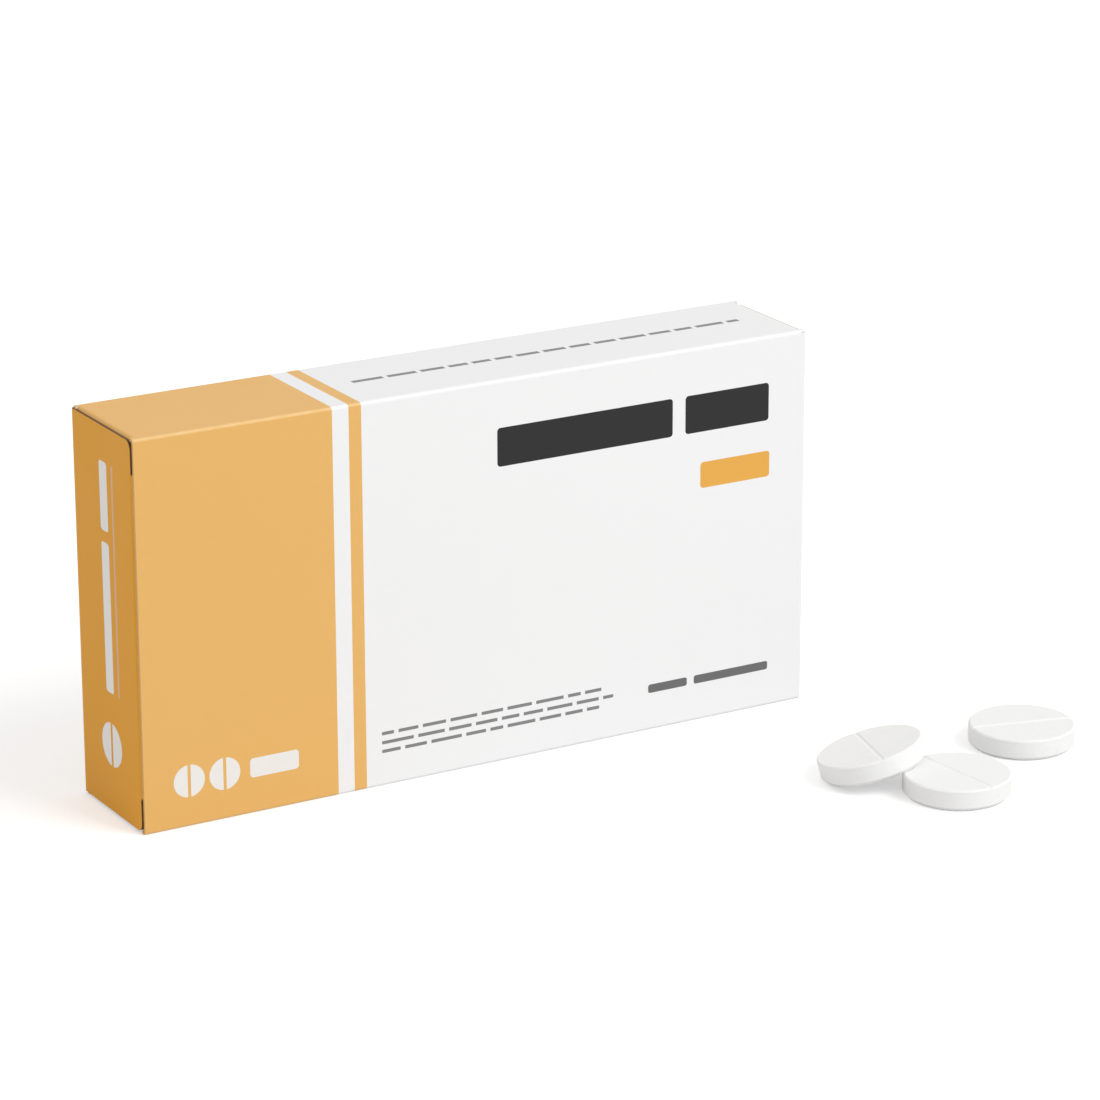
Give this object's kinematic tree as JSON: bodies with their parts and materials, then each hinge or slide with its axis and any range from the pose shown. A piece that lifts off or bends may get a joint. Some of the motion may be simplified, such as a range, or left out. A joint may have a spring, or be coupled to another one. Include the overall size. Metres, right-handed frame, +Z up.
{
  "type": "box of tablets",
  "caption": "Folded paperboard carton with a hinged tuck-in lid at each end, holding blister cards of round scored tablets and a folded leaflet, with loose tablets beside it.",
  "frame": {"origin": "centre of the carton's underside, on the surface it stands on", "axes": "+X along the carton towards its right end, +Y from the large front panel to the back panel, +Z up"},
  "size_m": [0.112, 0.0594, 0.048],
  "materials": {
    "printed_board": "smooth coated white paperboard with orange and white fields of print",
    "printed_board_orange": "smooth coated paperboard printed orange",
    "blister_film": "clear thermoformed film",
    "blister_foil": "thin bright lidding foil",
    "leaflet_paper": "thin uncoated white paper",
    "tablet": "matt white pressed powder"
  },
  "bodies": {
    "carton_and_contents": {"carton": "printed_board", "front_blister_film": "blister_film", "front_blister_foil": "blister_foil", "front_tablet_1": "tablet", "front_tablet_2": "tablet", "front_tablet_3": "tablet", "front_tablet_4": "tablet", "front_tablet_5": "tablet", "front_tablet_6": "tablet", "front_tablet_7": "tablet", "front_tablet_8": "tablet", "front_tablet_9": "tablet", "front_tablet_10": "tablet", "back_blister_film": "blister_film", "back_blister_foil": "blister_foil", "back_tablet_1": "tablet", "back_tablet_2": "tablet", "back_tablet_3": "tablet", "back_tablet_4": "tablet", "back_tablet_5": "tablet", "back_tablet_6": "tablet", "back_tablet_7": "tablet", "back_tablet_8": "tablet", "back_tablet_9": "tablet", "back_tablet_10": "tablet", "leaflet": "leaflet_paper", "loose_tablet_1": "tablet", "loose_tablet_2": "tablet", "loose_tablet_3": "tablet"},
    "left_lid": {"left_lid": "printed_board_orange"},
    "left_tuck": {"left_tuck": "printed_board_orange"},
    "right_lid": {"right_lid": "printed_board"},
    "right_tuck": {"right_tuck": "printed_board"}
  },
  "joints": [
    {"name": "left_lid_hinge", "type": "hinge", "parent": "carton_and_contents", "child": "left_lid", "pos_m": [-0.04539, 0.00804, 0.024], "axis": [0, 0, -1], "range_deg": [0, 110]},
    {"name": "left_tuck_fold", "type": "hinge", "parent": "left_lid", "child": "left_tuck", "pos_m": [-0.04514, -0.00733, 0.024], "axis": [0, 0, 1], "range_deg": [0, 50]},
    {"name": "right_lid_hinge", "type": "hinge", "parent": "carton_and_contents", "child": "right_lid", "pos_m": [0.04539, -0.00804, 0.024], "axis": [0, 0, -1], "range_deg": [0, 110]},
    {"name": "right_tuck_fold", "type": "hinge", "parent": "right_lid", "child": "right_tuck", "pos_m": [0.04514, 0.00733, 0.024], "axis": [0, 0, 1], "range_deg": [0, 50]}
  ],
  "couplings": [
    {"joint": "left_tuck_fold", "follows": "left_lid_hinge", "ratio": 0.45},
    {"joint": "right_tuck_fold", "follows": "right_lid_hinge", "ratio": 0.45}
  ]
}
